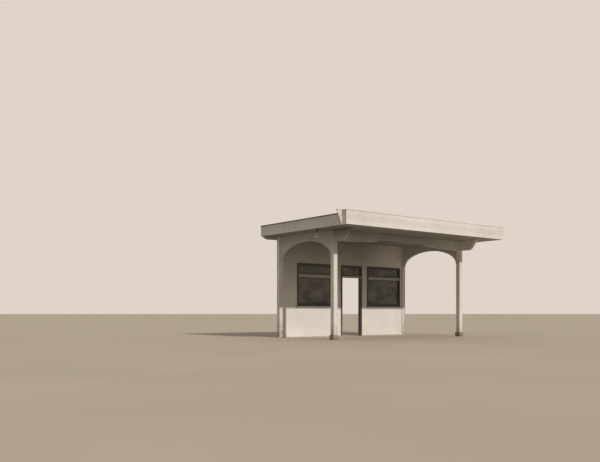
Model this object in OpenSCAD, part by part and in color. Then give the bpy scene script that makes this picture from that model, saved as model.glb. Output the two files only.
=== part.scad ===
// Timber canopy of a small filling station of the 1920s. Its back rests on a
// close-boarded shop front, its front on two square posts with a stepped beam,
// and each side is closed at the head by an arched valance. Millimetres, +Z up.
// The front faces -Y, and the origin is the bottom centre of the whole.

/* [Roof] */
// Width of the soffit, over the side fascias
roof_w = 7150; // [6000:10:9000]
// Depth of the roof, from the front fascia to the back of the shop front
roof_d = 3980; // [3400:10:5000]
// Height of the soffit above the ground
soffit_z = 3315; // [2900:5:3800]
// Thickness of the soffit lining
lining_t = 20; // [12:1:30]
// Height of the side fascias
fascia_h = 310; // [260:5:420]
// Thickness of every fascia board
fascia_t = 30; // [20:1:45]
// Thickness of the cappings on the side fascias
side_capping_t = 30; // [12:1:40]
// How far the rear fascia hangs below the soffit
rear_drop = 90; // [30:5:140]
// Run of the raked cut at each end of the rear fascia
rear_rake = 165; // [50:5:250]
// How far the roof sheeting lies below the top of the side fascias, at the front
sheet_drop = 15; // [8:1:40]
// Fall of the roof sheeting from front to back
roof_fall = 130; // [80:5:150]
// Depth of the corrugated sheeting, from trough to crest
sheet_t = 18; // [14:1:25]
// Number of rafters
rafter_n = 9; // [6:1:12]
// Thickness of a rafter
rafter_t = 45; // [35:1:60]

/* [Front board] */
// Height of the front fascia and of the sign board before it
sign_h = 400; // [330:5:520]
// How far the sign board stands before the front fascia
sign_proud = 175; // [120:5:260]
// Thickness of the sign board and its returns
sign_t = 25; // [18:1:35]
// How far the top corners of the front fascia spread past the side fascias
flare_w = 190; // [60:5:240]
// Thickness of the capping over the sign board
capping_t = 20; // [12:1:30]
// How far a capping stands out past the faces that it covers
capping_lap = 12; // [6:1:20]

/* [Posts and beam] */
// Width of the square posts
post_w = 150; // [110:5:220]
// Distance from the edge of the soffit to the middle of a post, on either side
post_inset_x = 695; // [500:5:1000]
// Distance from the front fascia to the middle of a post
post_inset_y = 1160; // [900:10:1500]
// Width of the block under each post
plinth_w = 200; // [160:5:280]
// Height of the block under each post
plinth_h = 150; // [80:5:250]
// Thickness of the front beam
beam_t = 110; // [70:5:110]
// Depth of the front beam where it meets a post
beam_end_h = 340; // [260:5:420]
// Depth of the front beam where its round begins
beam_turn_h = 280; // [240:5:340]
// Depth of the front beam over the middle of the bay
beam_mid_h = 185; // [120:5:230]
// Length of the deep stretch between a post and its round
haunch_l = 1385; // [700:5:1450]
// Length of the round in which a deep stretch ends
haunch_round = 330; // [150:5:420]

/* [Side valances] */
// Thickness of the side valances and the front brackets
valance_t = 100; // [60:5:110]
// Depth of a valance above the crown of its arch
crown_h = 245; // [180:5:400]
// Rise of the arch from its springing to its crown
arch_rise = 530; // [400:10:900]
// Width of the foot of a valance at its springing
springing_w = 35; // [20:1:60]
// Depth of a front bracket at its post
bracket_h = 330; // [240:5:420]
// Length of a front bracket
bracket_l = 750; // [450:5:760]
// Length of the level stretch under a bracket
bracket_flat = 370; // [200:5:430]

/* [Shop front] */
// Thickness of the wall
wall_t = 120; // [100:5:180]
// Width of the square corner posts of the wall
corner_w = 150; // [125:5:220]
// Width of the wall between the left corner post and the left window
pier_left_w = 600; // [300:10:900]
// Width of the wall on each side of the doorway
pier_door_w = 255; // [150:5:400]
// Width of the wall between the right window and the right corner post
pier_right_w = 100; // [80:5:300]
// Width of the doorway, over its frame
door_w = 1000; // [850:10:1200]
// Height of the underside of the window frames above the ground
window_z = 1060; // [800:10:1200]
// Height of the head of the doorway and the windows above the ground
head_z = 2500; // [2350:10:2700]
// Height of the underside of the transoms above the ground
transom_z = 2070; // [1950:10:2150]
// Width of the frame members
frame_w = 60; // [40:2:80]
// How far a frame stands before the wall
frame_proud = 15; // [5:1:30]
// Thickness of the window glass
glass_t = 6; // [4:1:10]
// Height of a window sill
sill_h = 50; // [35:1:80]
// How far a window sill stands before the wall
sill_proud = 60; // [30:5:100]
// How far a window sill runs past its window on each side
sill_horn = 30; // [10:5:40]

/* [Rain water] */
// Outer radius of the half-round gutter
gutter_r = 55; // [40:1:70]
// Wall of the gutter
gutter_t = 4; // [3:1:6]
// Number of lengths that make the gutter
gutter_n = 4; // [4:1:6]
// Distance from an end of the rear fascia to an end of the gutter
gutter_inset = 60; // [0:5:150]
// Outer radius of the downpipe
pipe_r = 38; // [25:1:50]
// Number of lengths that make the downpipe
pipe_n = 3; // [2:1:5]
// Gap between two lengths of gutter or pipe
joint_gap = 0.5; // [0.2:0.1:0.8]
// Height of the open end of the downpipe above the ground
pipe_foot = 80; // [30:5:200]
// Thickness of the clips round the downpipe
clip_t = 4; // [3:1:6]
// Height of a clip, and the width of its stand-off
clip_h = 30; // [20:1:50]
// Clearance between a clip and the pipe
clip_gap = 0.3; // [0.2:0.1:0.6]

/* [Lamps] */
// Distance from the edge of the soffit to the middle of a lamp, on either side
lamp_inset_x = 250; // [180:5:400]
// Distance from the front fascia to the middle of a lamp
lamp_inset_y = 1400; // [1300:10:1800]
// Height of the lamp stem
stem_h = 90; // [60:5:250]
// Radius of the lamp stem
stem_r = 10; // [8:1:14]
// Radius of the rim of the shade
shade_r = 115; // [90:5:160]
// Height of the shade
shade_h = 130; // [90:5:200]
// Wall of the shade
shade_t = 3; // [2:0.5:5]

/* [Hidden] */
$fn = 96;
// Overshoot of a cut past the face that it opens
past = 1;
// Straight pieces that stand for a quarter of an arch or for an S curve
curve_n = 16;

// Depth of the whole, from the front capping to the outside of the gutter
whole_d = capping_lap + sign_proud + roof_d + fascia_t + 2 * gutter_r;
// Y of the outer face of the front fascia, and of the back of the shop front
y_fascia = capping_lap + sign_proud - whole_d / 2;
y_back = y_fascia + roof_d;
y_wall = y_back - wall_t;
y_corner = y_back - corner_w;
// Middle of the posts
x_post = roof_w / 2 - post_inset_x;
y_post = y_fascia + post_inset_y;
y_post_back = y_post + post_w / 2;
y_post_front = y_post - post_w / 2;
// The corner posts stand in line with the front posts on the outer side
x_corner_out = x_post + post_w / 2;
x_wall = x_corner_out - corner_w;
// Places along the wall, from the left: two like windows share what the piers and the doorway leave
window_w = (2 * x_wall - pier_left_w - pier_right_w - 2 * pier_door_w - door_w) / 2;
x_window_left = -x_wall + pier_left_w;
x_pier_middle = x_window_left + window_w;
x_door = x_pier_middle + pier_door_w;
x_pier_door = x_door + door_w;
x_window_right = x_pier_door + pier_door_w;
x_pier_right = x_window_right + window_w;
// Heights of the roof
lining_top = soffit_z + lining_t;
sheet_front_z = soffit_z + fascia_h - sheet_drop - sheet_t;
// The gutter's middle line, and the pipe behind the right corner post
y_gutter = y_back + fascia_t + gutter_r;
z_gutter = sheet_front_z - roof_fall * (roof_d + fascia_t + gutter_r) / roof_d;
x_pipe = x_corner_out - corner_w / 2;
pipe_pitch = (z_gutter - pipe_foot + joint_gap) / pipe_n;
// Arch of a side valance
arch_half = (y_corner - y_post_back) / 2 - springing_w;
arch_mid = (y_corner + y_post_back) / 2;
spring_z = soffit_z - crown_h - arch_rise;

// Height of the underside of the sheeting at a distance behind the front fascia
function sheet_z(d) = sheet_front_z - roof_fall * d / roof_d;

// Points of half an ellipse from -half to half, with its crown at rise
function arch_points(half, rise) =
    [for (i = [0 : 2 * curve_n]) let (a = 180 - i * 90 / curve_n) [half * cos(a), rise * sin(a)]];

// Points of an S curve that rises from [0, 0] to [run, rise], level at both ends
function s_points(run, rise) =
    [for (i = [0 : curve_n]) let (t = i / curve_n) [run * t, rise * (1 - cos(180 * t)) / 2]];

// Points of the round under the front beam, a quarter of an ellipse round [x, z], from its foot
function round_points(x, z) =
    [for (i = [0 : curve_n]) let (a = i * 90 / curve_n)
        [x - haunch_round * sin(a), z - (beam_turn_h - beam_mid_h) * cos(a)]];

// A block given by two opposite corners
module block(low, high) {
    translate(low)
        cube(high - low);
}

// A profile drawn as [y, z] and extruded along X from x to x + length
module along_x(x, length) {
    translate([x, 0, 0])
        rotate([90, 0, 90])
            linear_extrude(length)
                children();
}

// A profile drawn as [x, z] and extruded along Y from y to y + length
module along_y(y, length) {
    translate([0, y + length, 0])
        rotate([90, 0, 0])
            linear_extrude(length)
                children();
}

// The block under a post
module plinth(side) {
    color("lightgray")
        translate([side * x_post - plinth_w / 2, y_post - plinth_w / 2, 0])
            cube([plinth_w, plinth_w, plinth_h]);
}

// A square post, from its block to the soffit
module post(side) {
    color("whitesmoke")
        translate([side * x_post - post_w / 2, y_post - post_w / 2, plinth_h])
            cube([post_w, post_w, soffit_z - plinth_h]);
}

// The beam hangs between the posts, deep beside them, with a round up to its shallow middle
module front_beam() {
    half = x_post - post_w / 2;
    low = soffit_z - beam_end_h;
    right = round_points(half - haunch_l, soffit_z - beam_mid_h);
    left = [for (i = [curve_n : -1 : 0]) [-right[i][0], right[i][1]]];
    color("dimgray")
        along_y(y_post - beam_t / 2, beam_t)
            polygon(concat([[half, soffit_z], [half, low]], right, left, [[-half, low], [-half, soffit_z]]));
}

// The boxed valance between a post and the wall, with its arch
module valance(side) {
    arch = [for (p = arch_points(arch_half, arch_rise)) [p[0] + arch_mid, p[1] + spring_z]];
    color("gray")
        along_x(side * x_post - valance_t / 2, valance_t)
            polygon(concat([[y_post_back, soffit_z], [y_post_back, spring_z]], arch,
                           [[y_corner, spring_z], [y_corner, soffit_z]]));
}

// The bracket that carries the eaves before a post, with an S curve at its tip
module bracket(side) {
    rise = bracket_h;
    tip = [for (p = s_points(bracket_l - bracket_flat, rise))
        [y_post_front - bracket_flat - p[0], soffit_z - rise + p[1]]];
    color("gray")
        along_x(side * x_post - valance_t / 2, valance_t)
            polygon(concat([[y_post_front, soffit_z], [y_post_front, soffit_z - rise]], tip));
}

// A corner post of the wall, which stands before the boards on its outer side
module corner_post(side) {
    x = side > 0 ? x_wall : -x_corner_out;
    color("whitesmoke")
        block([x, y_corner, 0], [x + corner_w, y_back, lining_top]);
}

// A piece of the wall between two places along X and two heights
module wall(x0, x1, z0, z1) {
    color("lightgray")
        block([x0, y_wall, z0], [x1, y_back, z1]);
}

// A framed opening in the wall, with a transom: its place and width along X and its foot
module joinery(x, w, foot, sill) {
    cut = y_wall - frame_proud - past;
    color("dimgray")
        difference() {
            block([x, y_wall - frame_proud, foot], [x + w, y_back, head_z]);
            block([x + frame_w, cut, sill], [x + w - frame_w, y_back + past, transom_z]);
            block([x + frame_w, cut, transom_z + frame_w],
                  [x + w - frame_w, y_back + past, head_z - frame_w]);
        }
}

// A sheet of glass that fills a light of a frame, in the middle of its depth
module pane(x, w, low, high) {
    middle = (y_wall - frame_proud + y_back) / 2;
    color("slategray")
        block([x + frame_w, middle - glass_t / 2, low], [x + w - frame_w, middle + glass_t / 2, high]);
}

// A window frame, closed at its foot by a rail
module window_frame(x) {
    joinery(x, window_w, window_z, window_z + frame_w);
}

// The large sheet and the one over the transom
module window_glass(x) {
    pane(x, window_w, window_z + frame_w, transom_z);
    pane(x, window_w, transom_z + frame_w, head_z - frame_w);
}

// The sill lies before the wall, under the frame, with a weathered top
module window_sill(x) {
    front = y_wall - sill_proud;
    color("whitesmoke")
        along_x(x - sill_horn, window_w + 2 * sill_horn)
            polygon([[y_wall, window_z], [y_wall, window_z - sill_h],
                     [front, window_z - sill_h], [front, window_z - sill_h / 2]]);
}

// The doorway runs down to the ground between its jambs
module door_frame() {
    joinery(x_door, door_w, 0, -past);
}

// The sheet over the transom of the doorway
module fanlight_glass() {
    pane(x_door, door_w, transom_z + frame_w, head_z - frame_w);
}

// The lining under the roof, cut round the wall and its corner posts, with a strip under the sign
module soffit_lining() {
    half = roof_w / 2 - fascia_t;
    color("silver") {
        block([-half, y_fascia - sign_proud + sign_t, soffit_z], [half, y_fascia, lining_top]);
        difference() {
            block([-half, y_fascia + fascia_t, soffit_z], [half, y_back, lining_top]);
            block([-x_corner_out, y_corner, soffit_z - past], [-x_wall, y_back + past, lining_top + past]);
            block([x_wall, y_corner, soffit_z - past], [x_corner_out, y_back + past, lining_top + past]);
            block([-x_wall - past, y_wall, soffit_z - past],
                  [x_wall + past, y_back + past, lining_top + past]);
        }
    }
}

// Rafters on edge, level below and sloping above, from fascia to fascia
module rafters() {
    first = -roof_w / 2 + fascia_t;
    pitch = (roof_w - 2 * fascia_t - rafter_t) / (rafter_n - 1);
    color("burlywood")
        for (i = [0 : rafter_n - 1])
            along_x(first + i * pitch, rafter_t)
                polygon([[y_fascia + fascia_t, lining_top], [y_back, lining_top],
                         [y_back, sheet_z(roof_d)], [y_fascia + fascia_t, sheet_z(fascia_t)]]);
}

// The sheeting falls to the back and laps over the gutter
module roof_sheeting() {
    lap = fascia_t + gutter_r / 2;
    color("darkgray")
        along_x(-roof_w / 2 + fascia_t, roof_w - 2 * fascia_t)
            polygon([[y_fascia + fascia_t, sheet_z(fascia_t)], [y_back + lap, sheet_z(roof_d + lap)],
                     [y_back + lap, sheet_z(roof_d + lap) + sheet_t],
                     [y_fascia + fascia_t, sheet_z(fascia_t) + sheet_t]]);
}

// The front fascia spreads outwards at its top corners
module fascia_front() {
    half = roof_w / 2;
    color("ivory")
        along_y(y_fascia, fascia_t)
            polygon([[-half, soffit_z], [half, soffit_z],
                     [half + flare_w, soffit_z + sign_h], [-half - flare_w, soffit_z + sign_h]]);
}

// The fascia over a side of the canopy
module fascia_side(side) {
    x = side > 0 ? roof_w / 2 - fascia_t : -roof_w / 2;
    color("tan")
        block([x, y_fascia + fascia_t, soffit_z], [x + fascia_t, y_back + fascia_t, soffit_z + fascia_h]);
}

// The fascia behind the wall, cut to the fall of the roof, with raked ends below the soffit
module fascia_rear() {
    half = roof_w / 2 - fascia_t;
    low = soffit_z - rear_drop;
    run = (rear_drop + past) * rear_rake / rear_drop;
    color("tan")
        difference() {
            along_x(-half, 2 * half)
                polygon([[y_back, low], [y_back + fascia_t, low],
                         [y_back + fascia_t, sheet_z(roof_d + fascia_t)], [y_back, sheet_z(roof_d)]]);
            for (side = [-1, 1])
                along_y(y_back - past, fascia_t + 2 * past)
                    polygon([[side * half, soffit_z], [side * (half - run), low - past],
                             [side * (half + past), low - past], [side * (half + past), soffit_z]]);
        }
}

// The board that stands before the front fascia
module sign_board() {
    half = roof_w / 2;
    front = y_fascia - sign_proud;
    color("ivory")
        block([-half, front, soffit_z], [half, front + sign_t, soffit_z + sign_h]);
}

// The boards that close the ends of the space behind the sign board
module sign_returns() {
    color("tan")
        for (x = [-roof_w / 2, roof_w / 2 - fascia_t])
            block([x, y_fascia - sign_proud + sign_t, soffit_z], [x + fascia_t, y_fascia, soffit_z + sign_h]);
}

// The cap over the sign board, the space behind it and the front fascia
module capping_front() {
    top = soffit_z + sign_h;
    half = roof_w / 2 + capping_lap;
    back = y_fascia + fascia_t + capping_lap;
    color("gray")
        union() {
            block([-half, y_fascia - sign_proud - capping_lap, top], [half, back, top + capping_t]);
            block([-half - flare_w, y_fascia - capping_lap, top], [half + flare_w, back, top + capping_t]);
        }
}

// The caps on the side fascias
module capping_sides() {
    top = soffit_z + fascia_h;
    width = fascia_t + 2 * capping_lap;
    color("gray")
        for (side = [-1, 1]) {
            x = side > 0 ? roof_w / 2 + capping_lap - width : -roof_w / 2 - capping_lap;
            block([x, y_fascia + fascia_t, top],
                  [x + width, y_back + fascia_t + capping_lap, top + side_capping_t]);
        }
}

// A half-round gutter on the rear fascia, in butted lengths, closed at both ends
module gutter() {
    half = roof_w / 2 - fascia_t - gutter_inset;
    pitch = (2 * half + joint_gap) / gutter_n;
    color("gray")
        for (i = [0 : gutter_n - 1]) {
            left = i * pitch - half;
            right = left + pitch - joint_gap;
            from = i == 0 ? left + gutter_t : left - past;
            to = i == gutter_n - 1 ? right - gutter_t : right + past;
            difference() {
                along_x(left, right - left)
                    translate([y_gutter, z_gutter])
                        circle(r = gutter_r);
                along_x(from, to - from)
                    translate([y_gutter, z_gutter])
                        circle(r = gutter_r - gutter_t);
                block([left - past, y_gutter - gutter_r - past, z_gutter],
                      [right + past, y_gutter + gutter_r + past, z_gutter + 2 * gutter_r]);
                translate([x_pipe, y_gutter, z_gutter - gutter_r - past])
                    cylinder(r = pipe_r - gutter_t, h = gutter_r);
            }
        }
}

// The pipe from the gutter down to just above the ground, in lengths, cut to the gutter's round
module downpipe() {
    color("gray")
        difference() {
            for (i = [0 : pipe_n - 1])
                translate([x_pipe, y_gutter, pipe_foot + i * pipe_pitch])
                    difference() {
                        cylinder(r = pipe_r, h = pipe_pitch - joint_gap);
                        translate([0, 0, -past])
                            cylinder(r = pipe_r - gutter_t, h = pipe_pitch + 2 * past);
                    }
            along_x(x_pipe - 2 * pipe_r, 4 * pipe_r)
                translate([y_gutter, z_gutter])
                    circle(r = gutter_r);
        }
}

// A clip round the middle of each length of pipe, on a stand-off from the corner post
module pipe_clips() {
    bore = pipe_r + clip_gap;
    color("dimgray")
        for (i = [0 : pipe_n - 1])
            translate([x_pipe, y_gutter, pipe_foot + (i + 0.5) * pipe_pitch - clip_h / 2])
                difference() {
                    union() {
                        cylinder(r = bore + clip_t, h = clip_h);
                        translate([-clip_h / 2, y_back - y_gutter, 0])
                            cube([clip_h, y_gutter - y_back, clip_h]);
                    }
                    translate([0, 0, -past])
                        cylinder(r = bore, h = clip_h + 2 * past);
                }
}

// The stems under the soffit, one near each side
module lamp_stems() {
    color("gray")
        for (side = [-1, 1])
            translate([side * (roof_w / 2 - lamp_inset_x), y_fascia + lamp_inset_y, soffit_z - stem_h])
                cylinder(r = stem_r, h = stem_h);
}

// A conical shade, open below, that hangs on its stem
module lamp_shade(side) {
    color("white")
        translate([side * (roof_w / 2 - lamp_inset_x), y_fascia + lamp_inset_y, soffit_z - stem_h - shade_h])
            rotate_extrude()
                polygon([[0, shade_h], [2 * stem_r, shade_h], [shade_r, 0], [shade_r - shade_t, 0],
                         [2 * stem_r - shade_t, shade_h - shade_t], [0, shade_h - shade_t]]);
}

plinth(-1);  // plinth_left
plinth(1);  // plinth_right
post(-1);  // post_left
post(1);  // post_right
front_beam();
valance(-1);  // valance_left
valance(1);  // valance_right
bracket(-1);  // bracket_left
bracket(1);  // bracket_right
corner_post(-1);  // corner_post_left
corner_post(1);  // corner_post_right
wall(-x_wall, x_window_left, 0, lining_top);  // wall_left_pier
wall(x_pier_middle, x_door, 0, lining_top);  // wall_middle_pier
wall(x_pier_door, x_window_right, 0, lining_top);  // wall_door_pier
wall(x_pier_right, x_wall, 0, lining_top);  // wall_right_pier
wall(x_window_left, x_pier_middle, 0, window_z);  // wall_under_left_window
wall(x_window_right, x_pier_right, 0, window_z);  // wall_under_right_window
wall(x_window_left, x_pier_middle, head_z, lining_top);  // wall_over_left_window
wall(x_window_right, x_pier_right, head_z, lining_top);  // wall_over_right_window
wall(x_door, x_pier_door, head_z, lining_top);  // wall_over_door
window_frame(x_window_left);  // window_frame_left
window_frame(x_window_right);  // window_frame_right
window_glass(x_window_left);  // window_glass_left
window_glass(x_window_right);  // window_glass_right
window_sill(x_window_left);  // window_sill_left
window_sill(x_window_right);  // window_sill_right
door_frame();
fanlight_glass();
soffit_lining();
rafters();
roof_sheeting();
fascia_front();
fascia_side(-1);  // fascia_left
fascia_side(1);  // fascia_right
fascia_rear();
sign_board();
sign_returns();
capping_front();
capping_sides();
gutter();
downpipe();
pipe_clips();
lamp_stems();
lamp_shade(-1);  // lamp_shade_left
lamp_shade(1);  // lamp_shade_right
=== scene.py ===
"""Looks of the timber canopy and shop front of a small filling station of the 1920s.

Everything is in metres, in the frame of the solids: +Z up, the sign board facing -Y. Each sub-assembly is
a class that takes its places from the boxes of the solids, works out its surfaces as whole numpy arrays
and gives them their finishes.
"""
import logging
import math
from dataclasses import dataclass, field
from enum import Enum
from typing import NamedTuple

import bpy
import numpy as np
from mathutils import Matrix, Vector


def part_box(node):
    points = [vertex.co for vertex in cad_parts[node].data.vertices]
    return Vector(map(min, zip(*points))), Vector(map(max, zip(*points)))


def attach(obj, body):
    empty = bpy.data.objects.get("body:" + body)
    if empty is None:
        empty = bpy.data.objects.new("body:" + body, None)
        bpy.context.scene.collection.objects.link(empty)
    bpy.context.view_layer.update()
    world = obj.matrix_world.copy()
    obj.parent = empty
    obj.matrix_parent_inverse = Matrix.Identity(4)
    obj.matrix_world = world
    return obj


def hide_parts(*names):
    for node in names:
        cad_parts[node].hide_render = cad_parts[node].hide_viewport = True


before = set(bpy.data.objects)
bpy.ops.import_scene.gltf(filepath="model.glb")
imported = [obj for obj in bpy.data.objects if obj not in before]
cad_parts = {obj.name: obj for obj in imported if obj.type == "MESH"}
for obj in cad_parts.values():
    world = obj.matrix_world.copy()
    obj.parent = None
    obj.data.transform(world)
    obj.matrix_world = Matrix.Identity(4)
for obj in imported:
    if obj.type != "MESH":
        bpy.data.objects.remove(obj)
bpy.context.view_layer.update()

LOG = logging.getLogger("canopy")
SIDES = ("left", "right")
# The angle between two faces from which their edge is shaded as sharp.
SHARP = math.radians(21.0)
# The start of every material's name, which keeps it apart from the plain materials of the solids.
LOOK = "aged_"
# The tone of a piece that isn't made of separate boards.
PLAIN = 0.5
# How exposed the two ends of an eased corner are. Its middle counts as 1.
SHOULDER = 0.4
# The largest share of a board's size that one of its eases takes up.
EASE_SHARE = 0.45
# How many eases from the box inside them a board's point lies when it counts as on an edge.
EDGE = 1.01

Colour = tuple[float, float, float]
Socket = bpy.types.NodeSocket
Feed = Socket | float | tuple[float, ...]
Pair = tuple[float | np.ndarray, float | np.ndarray]
Profile = tuple[tuple[float, float], ...]


class Axis(Enum):
    """The three directions of the frame."""

    X = 0
    Y = 1
    Z = 2


class Span(NamedTuple):
    """A box, as its lowest and its highest corner."""

    low: np.ndarray
    high: np.ndarray

    @property
    def middle(self) -> np.ndarray:
        """The middle of the box."""
        return (self.low + self.high) / 2.0

    @property
    def half(self) -> np.ndarray:
        """Half of its size along each axis."""
        return (self.high - self.low) / 2.0


def span(node: str) -> Span:
    """The box of a solid."""
    low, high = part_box(node)
    return Span(np.array(low), np.array(high))


@dataclass(frozen=True)
class Shell:
    """Faces of one or more closed surfaces, as whole arrays.

    Attributes:
        points: places, n by 3.
        corners: numbers of the points at the faces' corners, face after face.
        counts: how many corners each face has.
        wear: how exposed each point is to knocks and weather, from 0 to 1.
        tone: a number from 0 to 1 for each point, the same all over one board.
    """

    points: np.ndarray
    corners: np.ndarray
    counts: np.ndarray
    wear: np.ndarray
    tone: np.ndarray

    def outward(self) -> "Shell":
        """Turns the faces outwards: the volume under them, summed over fans of triangles, is above 0.

        Returns:
            The same shell, with every face reversed if the volume came out negative.
        """
        starts = np.repeat(np.cumsum(self.counts) - self.counts, self.counts)
        counts = np.repeat(self.counts, self.counts)
        order = np.arange(len(self.corners)) - starts
        fan = np.flatnonzero((order >= 1) & (order <= counts - 2))
        a, b, c = (self.points[self.corners[at]] for at in (starts[fan], fan, fan + 1))
        if np.einsum("ij,ij->i", a, np.cross(b, c)).sum() >= 0:
            return self
        flipped = self.corners[starts + counts - 1 - order]
        return Shell(self.points, flipped, self.counts, self.wear, self.tone)


def join(shells: list[Shell]) -> Shell:
    """Puts several shells into one, with the points numbered on from shell to shell.

    Args:
        shells: the shells, in order.

    Returns:
        One shell with all their faces.
    """
    starts = np.cumsum([0] + [len(s.points) for s in shells[:-1]])
    corners = np.concatenate([s.corners + start for s, start in zip(shells, starts)])
    points, counts, wear, tone = (np.concatenate([getattr(s, name) for s in shells])
                                  for name in ("points", "counts", "wear", "tone"))
    return Shell(points, corners, counts, wear, tone)


def tube(sections: np.ndarray, wear: np.ndarray | None = None, tone: float = PLAIN,
         closed: bool = False) -> Shell:
    """A closed outline carried from section to section, with a flat face on each end.

    A cell of the wall has points c and c + 1 of one section and the same two of the next, counted round.

    Args:
        sections: places, sections by points by 3.
        wear: exposure, sections by points, or None for 0.
        tone: the shell's own tone.
        closed: whether the last section joins the first instead, as round the wall of a pipe.

    Returns:
        The shell.
    """
    count, ring = sections.shape[:2]
    column = np.arange(ring)
    right = (column + 1) % ring
    row = ring * np.arange(count if closed else count - 1)[:, None]
    below = (row + ring) % (count * ring)
    cells = np.stack([row + column, row + right, below + right, below + column], -1)
    ends = np.array([] if closed else [column[::-1], column + (count - 1) * ring], int)
    corners = np.concatenate([cells.ravel(), ends.ravel()])
    counts = np.repeat([4, ring], [cells.size // 4, len(ends)])
    exposure = np.zeros(count * ring) if wear is None else wear.ravel()
    return Shell(sections.reshape(-1, 3), corners, counts, exposure, np.full(count * ring, tone)).outward()


def to_frame(across: np.ndarray, along: float | np.ndarray, axis: Axis) -> np.ndarray:
    """Places from two coordinates across an axis and one along it.

    Args:
        across: the two other coordinates in the frame's order, in a last dimension of 2.
        along: the coordinate along the axis, broadcast against across.
        axis: the axis.

    Returns:
        Places, in a last dimension of 3.
    """
    parts = [across[..., 0], across[..., 1]]
    parts.insert(axis.value, np.broadcast_to(along, parts[0].shape))
    return np.stack(parts, -1)


def bar(outline: np.ndarray, axis: Axis, ends: Pair) -> Shell:
    """An outline carried straight along an axis, with sharp edges.

    Args:
        outline: the corners in the plane across the axis, n by 2.
        axis: the way it runs.
        ends: where it starts and stops along the axis.

    Returns:
        The shell.
    """
    return tube(to_frame(np.stack([outline, outline]), np.array(ends)[:, None], axis))


def unit(ways: np.ndarray) -> np.ndarray:
    """Directions of length 1, from directions in rows."""
    return ways / np.linalg.norm(ways, axis=1, keepdims=True)


def circle(turns: np.ndarray) -> np.ndarray:
    """Places on a circle of radius 1: the cosine and the sine of angles given in half turns."""
    return np.stack([np.cos(np.pi * turns), np.sin(np.pi * turns)], -1)


def corner_directions(outline: np.ndarray) -> np.ndarray:
    """For each corner of a closed outline, the way into it that stays as far from both its sides.

    The inward normals of the two sides are added and stretched by 2 over the square of their sum's length,
    so that a step of one unit along the result moves both sides in by one unit.

    Args:
        outline: the corners, n by 2.

    Returns:
        Directions, n by 2.
    """
    following = np.roll(outline, -1, 0)
    side = unit(following - outline)
    area = np.sum(outline[:, 0] * following[:, 1] - following[:, 0] * outline[:, 1])
    inward = np.stack([-side[:, 1], side[:, 0]], 1) * np.sign(area)
    both = inward + np.roll(inward, 1, 0)
    return both * 2.0 / np.maximum(np.sum(both * both, 1, keepdims=True), 0.5)


def eased(outline: np.ndarray, ease: float) -> tuple[np.ndarray, np.ndarray]:
    """Rounds each corner of an outline with three points, which on a square corner lie on a quarter circle.

    The middle point is the corner, moved by 1 minus the square root of a half of the way to the other two.

    Args:
        outline: the corners, n by 2.
        ease: distance from a corner to where its round begins.

    Returns:
        The outline, 3n by 2, and how exposed each point is.
    """
    before = outline + ease * unit(np.roll(outline, 1, 0) - outline)
    after = outline + ease * unit(np.roll(outline, -1, 0) - outline)
    middle = outline + (1.0 - math.sqrt(0.5)) * (before + after - 2.0 * outline)
    wear = np.tile([SHOULDER, 1.0, SHOULDER], len(outline))
    return np.stack([before, middle, after], 1).reshape(-1, 2), wear


def prism(outline: np.ndarray, axis: Axis, ends: Pair, ease: float = 0.002, tone: float = PLAIN) -> Shell:
    """An outline carried straight along an axis, with all its edges eased.

    Args:
        outline: the corners in the plane across the axis, n by 2.
        axis: the way it runs.
        ends: where it starts and stops along the axis.
        ease: width of the eased edges.
        tone: the shell's own tone.

    Returns:
        The shell.
    """
    full, wear = eased(outline, ease)
    small = full + ease * corner_directions(full)
    along = np.array([ends[0], ends[0] + ease, ends[1] - ease, ends[1]])[:, None]
    exposure = np.stack([np.ones(len(full)), wear, wear, np.ones(len(full))])
    return tube(to_frame(np.stack([small, full, full, small]), along, axis), exposure, tone)


def rectangle(first: Pair, second: Pair) -> np.ndarray:
    """The corners of a rectangle, from where it starts and stops in its two directions."""
    return np.array([(first[i], second[j]) for i, j in ((0, 0), (1, 0), (1, 1), (0, 1))])


def surround(x: Pair, z: Pair, width: float) -> np.ndarray:
    """The bars round an opening: two uprights, and the head and the foot between them.

    Args:
        x: left and right side of the whole.
        z: its foot and its top.
        width: width of the bars.

    Returns:
        Left, right, foot and top of each bar, 4 by 4.
    """
    left, right = x[0] + width, x[1] - width
    return np.array([(x[0], left, *z), (right, x[1], *z), (left, right, z[1] - width, z[1]),
                     (left, right, z[0], z[0] + width)])


def cube_lattice() -> tuple[np.ndarray, np.ndarray]:
    """The points of a 4 by 4 by 4 lattice that lie on its outside, and the cells between them.

    Returns:
        The three station numbers of each of the 56 points, and the corner numbers of the 54 cells.
    """
    station = np.stack(np.meshgrid(*[np.arange(4)] * 3, indexing="ij"), -1)
    outside = np.any(station % 3 == 0, -1)
    number = np.full((4, 4, 4), -1)
    number[outside] = np.arange(outside.sum())
    cells = []
    for axis in range(3):
        for side in (0, 3):
            face = np.take(number, side, axis)
            quads = np.stack([face[:-1, :-1], face[1:, :-1], face[1:, 1:], face[:-1, 1:]], -1).reshape(-1, 4)
            cells.append(quads[:, ::-1] if (side == 0) != (axis == 1) else quads)
    return station[outside], np.concatenate(cells)


LATTICE, LATTICE_CELLS = cube_lattice()


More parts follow.
